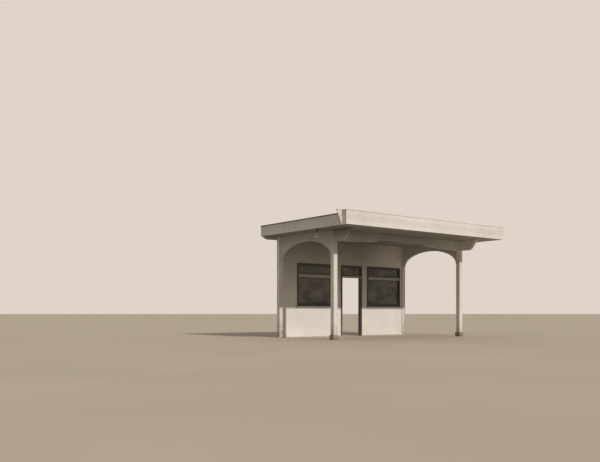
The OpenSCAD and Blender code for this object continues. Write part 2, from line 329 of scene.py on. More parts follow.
def boards(x: Pair, y: Pair, z: Pair, ease: float | tuple[float, float, float] = 0.002,
           tone: float | np.ndarray = PLAIN) -> Shell:
    """Many straight pieces with eased edges, as one array.

    Each piece is a lattice of 4 stations along each axis. A point q on the box inside the eases is kept, and
    the rest of its way out, measured in eases, is cut back to length 1, which rounds edges and corners.

    Args:
        x: where the pieces start and stop along X, each a number or one number a piece.
        y: the same along Y.
        z: the same along Z.
        ease: width of the eased edges, or one for each axis.
        tone: the pieces' tone, or one for each.

    Returns:
        The shell of all the pieces.
    """
    *limits, tones = (np.ravel(row).astype(float) for row in np.broadcast_arrays(*x, *y, *z, tone))
    low, high = np.stack(limits[0::2], 1), np.stack(limits[1::2], 1)
    step = np.minimum(ease, (high - low) * EASE_SHARE)
    stations = np.stack([low, low + step, high - step, high], 1)
    points = np.stack([stations[:, LATTICE[:, a], a] for a in range(3)], -1)
    inner = np.clip(points, (low + step)[:, None], (high - step)[:, None])
    way = (points - inner) / step[:, None]
    length = np.linalg.norm(way, axis=-1, keepdims=True)
    points = inner + way * step[:, None] / np.maximum(length, 1.0)
    wear = (length > EDGE).astype(float).ravel()
    cells = (LATTICE_CELLS + len(LATTICE) * np.arange(len(low))[:, None, None]).reshape(-1, 4)
    tones = np.repeat(tones, len(LATTICE))
    return Shell(points.reshape(-1, 3), cells.ravel(), np.full(len(cells), 4), wear, tones)


def lathe(profile: np.ndarray, centre: np.ndarray, segments: int, closed: bool = False) -> Shell:
    """A profile of radius and height turned round an upright axis.

    Args:
        profile: radii and heights, n by 2.
        centre: a place on the axis, of which only X and Y count.
        segments: number of faces round the axis.
        closed: whether the profile's end joins its start, as the wall of a pipe does.

    Returns:
        The shell: with closed off, its first and last rings are closed by flat faces.
    """
    radius, height = profile.T[..., None]
    across = centre[:2] + radius[..., None] * circle(2.0 * np.arange(segments) / segments)
    return tube(to_frame(across, height, Axis.Z), closed=closed)


class Recipe:
    """A material's nodes, put together a step at a time."""

    def __init__(self, name: str) -> None:
        """Starts a material with one shader.

        Args:
            name: the material's name.
        """
        self.material = bpy.data.materials.new(LOOK + name)
        self.material.use_nodes = True
        self.tree = self.material.node_tree
        self.tree.nodes.clear()
        self.shader = self.add("BsdfPrincipled")
        self.add("OutputMaterial", {0: self.shader.outputs[0]})
        self.place = self.add("TexCoord").outputs["Object"]
        self.parts = self.add("SeparateXYZ", {0: self.place}).outputs

    def add(self, kind: str, feeds: dict[int | str, Feed] | None = None, **settings: str) -> bpy.types.Node:
        """Adds a node.

        Args:
            kind: the end of the name of its type.
            feeds: what goes into its sockets, by their numbers or names.
            settings: its other settings.

        Returns:
            The node.
        """
        node = self.tree.nodes.new("ShaderNode" + kind)
        for name, value in settings.items():
            setattr(node, name, value)
        for name, source in (feeds or {}).items():
            self.feed(source, node.inputs[name])
        return node

    def feed(self, source: Feed, target: Socket) -> None:
        """Feeds a socket from another socket, or gives it a plain value.

        Args:
            source: the other socket, a number or a tuple of numbers.
            target: the socket.
        """
        if isinstance(source, Socket):
            self.tree.links.new(source, target)
        else:
            target.default_value = (*source, 1.0) if target.type == "RGBA" else source

    def along(self, axis: Axis) -> Socket:
        """The coordinate along an axis."""
        return self.parts[axis.value]

    def calc(self, operation: str, *values: Feed) -> Socket:
        """One step of arithmetic on some values."""
        return self.add("Math", dict(enumerate(values)), operation=operation).outputs[0]

    def weighted(self, *terms: tuple[Socket, float]) -> Socket:
        """The sum of some values, each times its weight.

        Args:
            terms: pairs of a value and its weight.

        Returns:
            The sum.
        """
        total = 0.0
        for value, weight in terms:
            total = self.calc("MULTIPLY_ADD", value, weight, total)
        return total

    def noise(self, scale: float | tuple[float, float, float], detail: float = 4.0,
              rough: float = 0.55) -> Socket:
        """Cloudy noise.

        Args:
            scale: cells per metre, or one for each axis.
            detail: number of octaves.
            rough: share of each finer octave.

        Returns:
            Values round 0.5.
        """
        factors = scale if isinstance(scale, tuple) else (scale, scale, scale)
        place = self.add("VectorMath", {0: self.place, 1: factors}, operation="MULTIPLY").outputs[0]
        feeds = {"Vector": place, "Scale": 1.0, "Detail": detail, "Roughness": rough}
        return self.add("TexNoise", feeds).outputs[0]

    def spread(self, value: Feed, low: float, high: float, to_low: float = 0.0,
               to_high: float = 1.0) -> Socket:
        """Carries low to to_low and high to to_high in a straight line, and stops there."""
        return self.add("MapRange", dict(enumerate((value, low, high, to_low, to_high)))).outputs[0]

    def blend(self, factor: Feed, first: Feed, second: Feed, way: str = "MIX") -> Socket:
        """Mixes two colours, which are the node's sockets 6 and 7, by a factor."""
        feeds = {0: factor, 6: first, 7: second}
        return self.add("Mix", feeds, data_type="RGBA", blend_type=way).outputs[2]

    def varied(self, colour: Colour, value: Socket, dark: float, light: float, low: float = 0.3,
               high: float = 0.7) -> Socket:
        """A colour that gets lighter as a value rises.

        Args:
            colour: the colour.
            value: the value.
            dark: factor of the colour where the value is low.
            light: factor of the colour where the value is high.
            low: the low value.
            high: the high value.

        Returns:
            The colour.
        """
        return self.blend(self.spread(value, low, high), shade(colour, dark), shade(colour, light))

    def over(self, base: Socket, colour: Feed, *shares: Feed) -> Socket:
        """Lays a colour over a base, as thick as the product of some shares.

        Args:
            base: the colour beneath.
            colour: the colour on top.
            shares: values from 0 to 1.

        Returns:
            The covered colour.
        """
        share = shares[0]
        for other in shares[1:]:
            share = self.calc("MULTIPLY", share, other)
        return self.blend(share, base, colour)

    def attribute(self, name: str) -> Socket:
        """A number that the mesh carries at each point."""
        return self.add("Attribute", attribute_name=name).outputs["Fac"]

    def toned(self, base: Socket, tone: Feed) -> Socket:
        """Makes a colour lighter or darker by a factor."""
        return self.blend(1.0, base, tone, "MULTIPLY")

    def relief(self, height: Socket, depth: float) -> None:
        """Gives the shader a bump from a height that counts in units of depth, in metres."""
        bump = self.add("Bump", {"Strength": 0.9, "Distance": depth, "Height": height})
        self.feed(bump.outputs[0], self.shader.inputs["Normal"])

    def finish(self, colour: Feed, rough: Feed, others: dict[str, float] | None = None) -> bpy.types.Material:
        """Feeds the shader.

        Args:
            colour: its colour.
            rough: its roughness.
            others: plain values of its other sockets.

        Returns:
            The material.
        """
        for name, value in {"Base Color": colour, "Roughness": rough, **(others or {})}.items():
            self.feed(value, self.shader.inputs[name])
        return self.material


def shade(colour: Colour, factor: float) -> Colour:
    """A colour times a factor."""
    return tuple(channel * factor for channel in colour)


GREY_TIMBER: Colour = (0.235, 0.19, 0.14)
DUST: Colour = (0.34, 0.27, 0.19)
# A near black: soot in rain streaks and joints, and the painted shade under the soffit.
SOOT_AND_SHADE: Colour = (0.068, 0.061, 0.054)
DARK_RUST: Colour = (0.13, 0.052, 0.022)
LIGHT_RUST: Colour = (0.27, 0.12, 0.05)
OLD_RUST: Colour = (0.2, 0.085, 0.035)
# The height at which the painted shade under the soffit is darkest, and the stretch along X over which it
# fades out towards +X.
SOFFIT_SHADE_TOP = 3.3
SOFFIT_SHADE_ENDS = (0.8, 2.6)
# The height of a wall board and the width of a corrugation, which the shapes and their finishes share.
BOARD_PITCH = 0.152
CORRUGATION = 0.076


@dataclass(frozen=True)
class Look:
    """What every finish has.

    Attributes:
        name: the material's name.
        colour: its main colour, clean.
        slot: the record's slot that it dresses, where that has another name.
    """

    name: str
    colour: Colour
    slot: str = field(default="", kw_only=True)


@dataclass(frozen=True)
class Paint(Look):
    """Old oil paint on timber: grain, board by board tone, chips at the edges, rain streaks, dust, a darker
    foot and painted shade just under the soffit.

    Attributes:
        grain: the way the boards run.
        age: how far it has weathered, from 0 to 1.
        streaks: how much rain has drawn down it, from 0 to 1.
        foot_darkening: height below which it turns darker, towards the colour of dust, in metres, or 0.
        gloss: roughness of the sound paint.
        soffit_shade: how dark the painted shade just under the soffit makes it, from 0 to 1.
        clear: height up to which there is no painted shade from the soffit on it.
        tones: how light a board of tone 0 and one of tone 1 are, as factors.
        fibres: cells per metre of the grain, along it and across it.
        scales: cells per metre of the clouds, the mottle and the flakes.
        knocks: how much an exposed edge adds to the flaking.
    """

    grain: Axis
    age: float = 0.5
    streaks: float = 0.3
    foot_darkening: float = 0.0
    gloss: float = 0.5
    soffit_shade: float = 0.0
    clear: float = 2.85
    tones: tuple[float, float] = (0.9, 1.06)
    fibres: tuple[float, float] = (3.2, 95.0)
    scales: tuple[float, float, float] = (1.1, 9.0, 31.0)
    knocks: float = 0.24

    def parted(self, r: Recipe) -> tuple[Socket, Socket | None]:
        """How light each board is.

        Args:
            r: the recipe in hand.

        Returns:
            The factor of a board's tone, and None, because the mesh has the joints.
        """
        return r.spread(r.attribute("tone"), 0.0, 1.0, *self.tones), None

    def mixed(self) -> bpy.types.Material:
        """Makes the material, from the first coat to the painted shade under the soffit, laid on last.

        Returns:
            The material.
        """
        r = Recipe(self.name)
        clouds, spots, flakes = self.scales
        cells = tuple(self.fibres[int(axis is not self.grain)] for axis in Axis)
        grain = r.noise(cells, detail=5.0, rough=0.6)
        mottle = r.noise(spots, detail=6.0, rough=0.62)
        tone, joint = self.parted(r)
        base = r.varied(self.colour, r.noise(clouds, detail=5.0), dark=0.93, light=1.04)
        base = r.toned(base, tone)
        faded = r.spread(mottle, 0.46, 0.74, to_high=0.55 * self.age)
        base = r.over(base, r.blend(0.5, self.colour, DUST), faded)
        lines = r.spread(grain, 0.56, 0.78, to_high=0.4 * self.age)
        base = r.over(base, shade(self.colour, 0.5), lines)
        if self.streaks > 0.0:
            drawn = r.spread(r.noise((17.0, 17.0, 0.7), rough=0.6), 0.5, 0.78)
            base = r.over(base, SOOT_AND_SHADE, drawn, r.spread(mottle, 0.35, 0.6, 0.3, 1.0), self.streaks)
        if joint:
            base = r.over(base, SOOT_AND_SHADE, joint)
        loose = r.noise(flakes, detail=5.0, rough=0.65)
        worn = r.weighted((r.attribute("wear"), self.knocks), (grain, 0.35), (loose, 0.65))
        edge = 0.86 - 0.16 * self.age
        chips = r.spread(worn, edge, edge + 0.03)
        base = r.over(base, GREY_TIMBER, chips)
        # Darker towards the foot, in the colour of dust.
        if self.foot_darkening > 0.0:
            ground = r.spread(r.along(Axis.Z), 0.0, self.foot_darkening, 0.75, 0.0)
            base = r.over(base, DUST, ground, r.spread(mottle, 0.3, 0.62))
        # Painted shade under the soffit: the colour darkens from the clear height up to the soffit, and less
        # so towards +X.
        if self.soffit_shade > 0.0:
            rise = r.spread(r.along(Axis.Z), self.clear, SOFFIT_SHADE_TOP, 0.0, self.soffit_shade)
            base = r.over(base, SOOT_AND_SHADE, rise, r.spread(r.along(Axis.X), *SOFFIT_SHADE_ENDS, 1.0, 0.0))
        hollow = r.calc("MAXIMUM", chips, joint) if joint else chips
        r.relief(r.weighted((grain, 0.55), (hollow, -1.0)), depth=0.0011)
        dull = r.weighted((mottle, 1.0), (chips, 0.5))
        return r.finish(base, r.spread(dull, 0.3, 0.9, self.gloss, 0.86))


@dataclass(frozen=True)
class CloseBoards(Paint):
    """Paint on smooth close boards, with a tone for each board and a fine butt joint where two boards meet.

    It has finer grain, spots and tones than the other paint, and loses less at its edges.

    Attributes:
        pitch: height of a board.
        length: distance between butt joints in a course.
        slit: width of a butt joint, as a share of the length.
    """

    tones: tuple[float, float] = (0.992, 1.006)
    fibres: tuple[float, float] = (3.0, 110.0)
    scales: tuple[float, float, float] = (1.0, 8.0, 27.0)
    knocks: float = 0.06
    pitch: float = BOARD_PITCH
    length: float = 3.9
    slit: float = 0.0008

    def parted(self, r: Recipe) -> tuple[Socket, Socket]:
        """How light each board is, and its joints: a course's number seeds their place and its boards' tones.

        Args:
            r: the recipe in hand.

        Returns:
            The factor of a board's tone, and 1 on a joint.
        """
        course = r.calc("FLOOR", r.calc("DIVIDE", r.along(Axis.Z), self.pitch))
        seed = r.calc("ADD", course, 0.37)
        shift = r.add("TexWhiteNoise", {"W": seed}, noise_dimensions="1D").outputs["Value"]
        run = r.calc("ADD", r.calc("DIVIDE", r.along(Axis.X), self.length), shift)
        number = r.calc("FLOOR", run)
        pair = r.add("CombineXYZ", {0: course, 1: number}).outputs[0]
        pick = r.add("TexWhiteNoise", {"Vector": pair}, noise_dimensions="2D").outputs["Value"]
        joint = r.spread(r.calc("SUBTRACT", run, number), 0.0, self.slit, 1.0, 0.0)
        return r.spread(pick, 0.0, 1.0, *self.tones), joint


@dataclass(frozen=True)
class Concrete(Look):
    """Cast concrete with sand, air holes and a dirty foot."""

    def mixed(self) -> bpy.types.Material:
        """Makes the material.

        Returns:
            The material.
        """
        r = Recipe(self.name)
        sand = r.noise(420.0, detail=3.0, rough=0.7)
        cloud = r.noise(6.0, detail=6.0, rough=0.6)
        pit = r.add("TexVoronoi", {"Vector": r.place, "Scale": 60.0}, feature="DISTANCE_TO_EDGE")
        base = r.varied(self.colour, cloud, dark=0.72, light=1.12, low=0.35, high=0.68)
        base = r.over(base, shade(self.colour, 0.5), r.spread(sand, 0.5, 0.75, to_high=0.4))
        base = r.over(base, DUST, r.spread(r.along(Axis.Z), 0.0, 0.09, 0.6, 0.0))
        base = r.over(base, shade(self.colour, 1.3), r.attribute("wear"), 0.35)
        holes = r.spread(pit.outputs["Distance"], 0.0, 0.06, 1.0, 0.0)
        r.relief(r.weighted((sand, 1.0), (holes, -0.4)), depth=0.0012)
        return r.finish(base, r.spread(cloud, 0.3, 0.7, 0.8, 0.95))


@dataclass(frozen=True)
class Metal(Look):
    """Painted sheet metal: brush marks, uneven paint, and rust where it has gone.

    Attributes:
        rust: how much rust shows, from 0 to 1.
        gloss: roughness of the sound paint.
        coat: weight of a clear glossy coat, as on enamel.
        grain: cells per metre of the brush marks along each axis.
    """

    rust: float = 0.4
    gloss: float = 0.45
    coat: float = 0.0
    grain: tuple[float, float, float] = (40.0, 40.0, 40.0)

    def mixed(self) -> bpy.types.Material:
        """Makes the material.

        Returns:
            The material.
        """
        r = Recipe(self.name)
        cloud = r.noise(2.3, detail=5.0)
        fine = r.noise(self.grain, detail=5.0, rough=0.6)
        blot = r.noise(24.0, detail=6.0, rough=0.66)
        base = r.varied(self.colour, cloud, dark=0.84, light=1.1)
        base = r.over(base, shade(self.colour, 0.6), r.spread(fine, 0.5, 0.8, to_high=0.3))
        edge = 0.74 - 0.2 * self.rust
        worn = r.weighted((blot, 0.7), (cloud, 0.3), (r.attribute("wear"), 0.1))
        gone = r.spread(worn, edge, edge + 0.05)
        base = r.over(base, r.blend(fine, DARK_RUST, LIGHT_RUST), gone)
        r.relief(r.weighted((fine, 0.4), (gone, -0.7)), depth=0.0006)
        return r.finish(base, r.spread(gone, 0.0, 1.0, self.gloss, 0.9), {"Coat Weight": self.coat})


@dataclass(frozen=True)
class CorrugatedIron(Look):
    """Old painted corrugated iron: dull paint, darker troughs, streaks down the fall and rust.

    Attributes:
        pitch: width of a corrugation.
    """

    pitch: float = CORRUGATION

    def mixed(self) -> bpy.types.Material:
        """Makes the material: the trough's shade is half of 1 minus the cosine of the place in the wave.

        Returns:
            The material.
        """
        r = Recipe(self.name)
        wave = r.calc("COSINE", r.calc("MULTIPLY", r.along(Axis.X), 2.0 * math.pi / self.pitch))
        run = r.noise((26.0, 1.1, 26.0), detail=5.0, rough=0.6)
        blot = r.noise(18.0, detail=6.0, rough=0.68)
        base = r.varied(self.colour, r.noise(1.3, detail=6.0, rough=0.6), dark=0.82, light=1.14)
        base = r.over(base, DUST, r.spread(wave, 1.0, -1.0), 0.35)
        base = r.over(base, SOOT_AND_SHADE, r.spread(run, 0.5, 0.75, to_high=0.5))
        base = r.toned(base, r.spread(r.attribute("tone"), 0.0, 1.0, 0.88, 1.08))
        gone = r.spread(r.weighted((blot, 1.0), (run, 0.3)), 0.72, 0.79)
        base = r.over(base, OLD_RUST, gone)
        r.relief(r.weighted((blot, 0.5), (gone, -1.0)), depth=0.0006)
        return r.finish(base, r.spread(gone, 0.0, 1.0, 0.55, 0.92))


@dataclass(frozen=True)
class SawnTimber(Look):
    """Bare sawn timber with growth rings, saw marks and a little grey."""

    def mixed(self) -> bpy.types.Material:
        """Makes the material.

        Returns:
            The material.
        """
        r = Recipe(self.name)
        rings = r.noise((60.0, 1.6, 60.0), detail=5.0)
        saw = r.noise((20.0, 160.0, 20.0), detail=2.0, rough=0.5)
        base = r.varied(self.colour, rings, dark=0.62, light=1.1, low=0.35, high=0.7)
        base = r.over(base, GREY_TIMBER, r.spread(r.noise(2.0, detail=5.0), 0.4, 0.8, to_high=0.5))
        r.relief(r.weighted((rings, 0.5), (saw, 0.5)), depth=0.0012)
        return r.finish(base, 0.85)


@dataclass(frozen=True)
class OldGlass(Look):
    """Window glass, opaque: its colour is a painted dark room behind it with painted reflections in slow
    patches, with faint waves, a film of dust and clear reflections from the shader.
    """

    def mixed(self) -> bpy.types.Material:
        """Makes the material.

        Returns:
            The material.
        """
        r = Recipe(self.name)
        film = r.noise(5.0, detail=6.0, rough=0.65)
        run = r.noise((30.0, 30.0, 1.2), rough=0.6)
        dust = r.spread(r.weighted((film, 0.6), (run, 0.4)), 0.42, 0.72)
        # Painted shade and painted reflections: slow patches that stand for the dark room behind the glass
        # and what it reflects.
        painted_room = r.noise((1.6, 1.6, 2.3), detail=5.0, rough=0.62)
        base = r.varied(self.colour, painted_room, dark=0.62, light=1.2, low=0.36, high=0.66)
        base = r.over(base, DUST, dust, 0.14)
        r.relief(r.noise((2.2, 2.2, 3.1), detail=1.0, rough=0.3), depth=0.0035)
        return r.finish(base, r.spread(dust, 0.0, 1.0, 0.04, 0.22), {"IOR": 1.52})


class Finish(Enum):
    """Every finish on the canopy."""

    # The soffit shade values below set how much painted shade darkens each piece just under the soffit.
    POST = Paint("post_paint", (0.79, 0.77, 0.735), Axis.Z, 0.45, 0.16, 0.5, soffit_shade=0.42, clear=2.4)
    CORNER = Paint("corner_post_paint", (0.77, 0.75, 0.715), Axis.Z, 0.5, 0.2, 0.6, slot="post_paint")
    BEAM = Paint("beam_paint", (0.66, 0.65, 0.625), Axis.X, 0.5, 0.2, soffit_shade=0.37)
    VALANCE = Paint("valance_paint", (0.63, 0.622, 0.6), Axis.Y, 0.5, 0.2, soffit_shade=0.12, slot="beam_paint")
    BRACKET = Paint("bracket_paint", (0.73, 0.722, 0.695), Axis.Y, 0.5, 0.2, soffit_shade=0.67, slot="beam_paint")
    WALL = CloseBoards("wall_boards", (0.79, 0.778, 0.755), Axis.X, 0.3, 0.0, 0.03, soffit_shade=0.53, clear=1.45)
    JOINERY = Paint("joinery_paint", (0.183, 0.176, 0.165), Axis.Z, 0.45, 0.1, 0.3, 0.42, tones=(1.0, 2.9))
    SILL = Paint("sill_paint", (0.66, 0.635, 0.59), Axis.X, 0.6, 0.35)
    # The glass is opaque, and its colour is painted shade: the dark of the room behind it.
    GLASS = OldGlass("window_glass", (0.3, 0.288, 0.265))
    SOFFIT = Paint("soffit_boards", (0.43, 0.42, 0.4), Axis.Y, 0.35, 0.1, soffit_shade=0.26)
    RAFTER = SawnTimber("bare_timber", (0.42, 0.3, 0.18))
    IRON = CorrugatedIron("roof_iron", (0.23, 0.205, 0.165))
    FASCIA = Paint("fascia_paint", (0.718, 0.696, 0.66), Axis.Y, 0.45, 0.18)
    REAR = Paint("rear_fascia_paint", (0.7, 0.67, 0.61), Axis.X, 0.45, 0.4, slot="fascia_paint")
    SIGN = Paint("sign_paint", (0.763, 0.741, 0.704), Axis.X, 0.35, 0.1)
    FRONT = Paint("front_paint", (0.81, 0.787, 0.748), Axis.X, 0.35, 0.1, slot="sign_paint")
    # The side cappings' dark colour is painted shade: it stands for the shadowed line along the tops of the
    # side fascias.
    CAPPING = Paint("capping_paint", (0.28, 0.255, 0.215), Axis.Y, 0.6, 0.2)
    GUTTER = Metal("gutter_metal", (0.3, 0.265, 0.21), 0.5, 0.5, 0.0, (4.0, 60.0, 60.0))
    LAMP_METAL = Metal("lamp_metal", (0.12, 0.105, 0.082), 0.35, 0.4)
    ENAMEL = Metal("lamp_enamel", (0.72, 0.69, 0.6), 0.12, 0.2, 0.4)
    BULB = OldGlass("lamp_bulb", (0.42, 0.4, 0.34), slot="lamp_enamel")
    CONCRETE = Concrete("concrete", (0.42, 0.38, 0.315))
    NAIL = Metal("nail_metal", (0.16, 0.12, 0.085), 0.7, 0.7, slot="roof_iron")

    def material(self) -> bpy.types.Material:
        """The material, made the first time it is asked for."""
        return bpy.data.materials.get(LOOK + self.value.name) or self.value.mixed()


def put(name: str, data: bpy.types.ID) -> bpy.types.Object:
    """Makes an object and links it to the scene.

    Args:
        name: its name.
        data: its mesh, light or camera.

    Returns:
        The object.
    """
    thing = bpy.data.objects.new(name, data)
    bpy.context.scene.collection.objects.link(thing)
    return thing


def make(name: str, shell: Shell, finish: Finish, node: str = "") -> None:
    """Turns a shell into a piece on the canopy's one body.

    Args:
        name: the piece's name.
        shell: its surfaces.
        finish: its finish.
        node: the solid that it stands for, or nothing.
    """
    mesh = bpy.data.meshes.new(name)
    mesh.vertices.add(len(shell.points))
    mesh.vertices.foreach_set("co", shell.points.astype(np.float32).ravel())
    mesh.loops.add(len(shell.corners))
    mesh.loops.foreach_set("vertex_index", shell.corners.astype(np.int32))
    mesh.polygons.add(len(shell.counts))
    mesh.polygons.foreach_set("loop_start", (np.cumsum(shell.counts) - shell.counts).astype(np.int32))
    mesh.update(calc_edges=True)
    mesh.validate()
    for label, values in (("wear", shell.wear), ("tone", shell.tone)):
        mesh.attributes.new(label, "FLOAT", "POINT").data.foreach_set("value", values.astype(np.float32))
    mesh.shade_smooth()
    mesh.set_sharp_from_angle(angle=SHARP)
    mesh.materials.append(finish.material())
    piece = put(name, mesh)
    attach(piece, "root")
    if node:
        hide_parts(node)
    LOG.info("%s: %d faces, %s", name, len(shell.counts), finish.value.name)


def dress(node: str, finish: Finish) -> None:
    """Gives a solid that keeps its own shape its finish.

    Args:
        node: the solid.
        finish: the finish.
    """
    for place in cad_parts[node].material_slots:
        place.material = finish.material()
    LOG.info("%s: kept, %s", node, finish.value.name)


@dataclass
class Posts:
    """The two front posts, their blocks, and the corner posts of the wall.

    Attributes:
        arris: width of the eased arrises of a post.
        chamfer: width of the chamfer round the top of a block.
        levels: heights of the rings of points up a block's sides.
        worn: how far a block's foot is worn in.
        stations: points along each edge of a block's faces.
        unevenness: how far a block's cast faces wander.
        waves: how fast they wander, in radians per metre of height and per half width in the first sine,
            and per half width and per metre of height in the second.
    """

    arris: float = 0.006
    chamfer: float = 0.012
    levels: tuple[float, ...] = (0.004, 0.05, 0.1)
    worn: float = 0.003
    stations: int = 15
    unevenness: float = 0.0014
    waves: tuple[float, float, float, float] = (23.0, 5.0, 3.0, 31.0)

    def post(self, node: str, finish: Finish) -> None:
        """A square post with eased arrises.

        Args:
            node: its solid.
            finish: its finish.
        """
        (x0, y0, z0), (x1, y1, z1) = span(node)
        shell = prism(rectangle((x0, x1), (y0, y1)), Axis.Z, (z0, z1), self.arris)
        make(node + "_timber", shell, finish, node)

    def block(self, node: str) -> None:
        """A cast block: rings up its sides, with slow waves on the faces and a chamfer to its top.

        The ring at each height is a square whose side points lean in and out by the product of two sines.

        Args:
            node: its solid.
        """
        box = span(node)
        side = np.linspace(-1.0, 1.0, self.stations)[:-1]
        one = np.ones_like(side)
        square = np.concatenate([np.stack(pair, 1) for pair in
                                 ((side, -one), (one, side), (-side, one), (-one, -side))])
        inner = box.half[0] - self.unevenness
        foot, top = box.low[2], box.high[2]
        levels = foot + np.array(self.levels)
        heights = np.array([foot, *levels, top - self.chamfer, top])[:, None]
        reach = np.array([inner - self.worn, *[inner] * (len(levels) + 1), inner - self.chamfer])[:, None]
        rise, bend, sway, lift = self.waves
        wave = np.sin(rise * heights + bend * square[:, 0]) * np.sin(sway * square[:, 1] + lift * heights)
        across = box.middle[:2] + square * (reach + self.unevenness * wave)[..., None]
        wear = np.zeros(across.shape[:2])
        wear[-2:] = 1.0
        make(node + "_block", tube(to_frame(across, heights, Axis.Z), wear), Finish.CONCRETE, node)

    def build(self) -> None:
        """Makes the posts and the blocks."""
        for side in SIDES:
            self.post("post_" + side, Finish.POST)
            self.post("corner_post_" + side, Finish.CORNER)
            self.block("plinth_" + side)


@dataclass
class BoxedTimbers:
    """The stepped front beam, the arched valances and the front brackets, all boxed in boards.

    Attributes:
        cheek: thickness of the boards on the two faces.
        setback: how far the board under a member lies inside its cheeks.
        arris: width of the eased arrises.
        deep: length of the beam's deep stretch beside a post.
        turn: length of the round in which a deep stretch ends.
        knee: depth of the beam where a round begins.
        shallow: depth of the beam over the middle of the bay.
        crown: depth of a valance over the crown of its arch.
        foot: width of a valance's foot.
        level: length of the level stretch under a bracket.
        tip: depth of a bracket at its tip.
        steps: stations along a curve.
        exposed: how exposed the points of half a ring are, from the top of a face to the board under it.
    """

    cheek: float = 0.022
    setback: float = 0.009
    arris: float = 0.003
    deep: float = 1.385
    turn: float = 0.33
    knee: float = 0.28
    shallow: float = 0.185
    crown: float = 0.245
    foot: float = 0.035
    level: float = 0.37
    tip: float = 0.002
    steps: int = 72
    exposed: tuple[float, ...] = (0.0, 0.5, 1.0, 0.6, 0.3, 0.0)

    def boxed(self, node: str, path: np.ndarray, inward: np.ndarray, axis: Axis, finish: Finish) -> None:
        """A boxed member over a path, as rings of 12 points.

        Half a ring runs down one face to the path, under the cheek and up by the setback to the board, and
        the other half mirrors it. A point set in from the path is the path plus a distance times inward.

        Args:
            node: its solid, which gives its top and its two faces.
            path: places along the member and heights, n by 2.
            inward: the way into the timber at each of them, n by 2.
            axis: the way it runs, X or Y.
            finish: its finish.
        """
        low, high = span(node)
        near, far = low[1 - axis.value], high[1 - axis.value]
        a, c = self.arris, self.cheek
        insets = np.array([0.0, 0.0, a, c - a, c, c])
        across = np.concatenate([near + insets, far - insets[::-1]])
        halves = ((0.0, a, 0.0, 0.0, a, self.setback), self.exposed)
        rises, wear = (np.array([*half, *half[::-1]]) for half in halves)
        ring = path[:, None, :] + rises[None, :, None] * inward[:, None, :]
        ring[..., 1] = np.minimum(ring[..., 1], high[2])
        ring[:, [0, -1]] = np.stack([path[:, 0], np.full(len(path), high[2])], 1)[:, None]
        width, wear = (np.broadcast_to(row, ring.shape[:2]) for row in (across, wear))
        rings = to_frame(np.stack([width, ring[..., 1]], -1), ring[..., 0], axis)
        make(node + "_boxing", tube(rings, wear), finish, node)

    def beam(self, node: str) -> None:
        """The front beam: deep beside the posts, with a quarter of an ellipse up to its shallow middle.

        Args:
            node: its solid.
        """
        low, high = span(node)
        size = np.array([self.turn, self.shallow - self.knee])
        quarter = circle(np.linspace(0.0, 0.5, self.steps // 2))[:, ::-1]
        curve = [low[0] + self.deep, high[2] - self.shallow] + size * quarter
        way = unit(-quarter / size)
        way[-1] = (-1.0, 1.0)
        path = np.concatenate([[[low[0], low[2]]], curve])
        inward = np.concatenate([[[0.0, 1.0]], way])
        mirror = np.array([-1.0, 1.0])
        path = np.concatenate([path, path[::-1] * mirror + np.array([low[0] + high[0], 0.0])])
        self.boxed(node, path, np.concatenate([inward, inward[::-1] * mirror]), Axis.X, Finish.BEAM)

    def valance(self, node: str) -> None:
        """A valance: two level feet and half an ellipse between them.

        Args:
            node: its solid.
        """
        box = span(node)
        (_, y0, z0), (_, y1, z1) = box
        middle, half = box.middle[1], box.half[1] - self.foot
        size = np.array([-half, z1 - self.crown - z0])
        turn = circle(np.linspace(0.0, 1.0, self.steps)[1:-1])
        arch, out = [middle, z0] + size * turn, unit(turn / size)
        path = np.concatenate([[[y0, z0], [middle - half, z0]], arch, [[middle + half, z0], [y1, z0]]])
        inward = np.concatenate([[[0.0, 1.0], [-1.0, 1.0]], out, [[1.0, 1.0], [0.0, 1.0]]])
        self.boxed(node, path, inward, Axis.Y, Finish.VALANCE)

    def bracket(self, node: str) -> None:
        """A bracket: a level stretch from the post, then half a cosine wave up to the soffit.

        Args:
            node: its solid.
        """
        (_, y0, z0), (_, y1, z1) = span(node)
        t = np.linspace(0.0, 1.0, self.steps)
        rise, run = z1 - z0 - self.tip, y1 - y0 - self.level
        curve = np.stack([y1 - self.level - run * t, z0 + rise * (1.0 - np.cos(np.pi * t)) / 2.0], 1)
        path = np.concatenate([[[y1, z0]], curve])
        way = unit(np.gradient(path, axis=0))
        self.boxed(node, path, np.stack([way[:, 1], -way[:, 0]], 1), Axis.Y, Finish.BRACKET)

    def build(self) -> None:
        """Makes the beam, the valances and the brackets."""
        self.beam("front_beam")
        for side in SIDES:
            self.valance("valance_" + side)
            self.bracket("bracket_" + side)


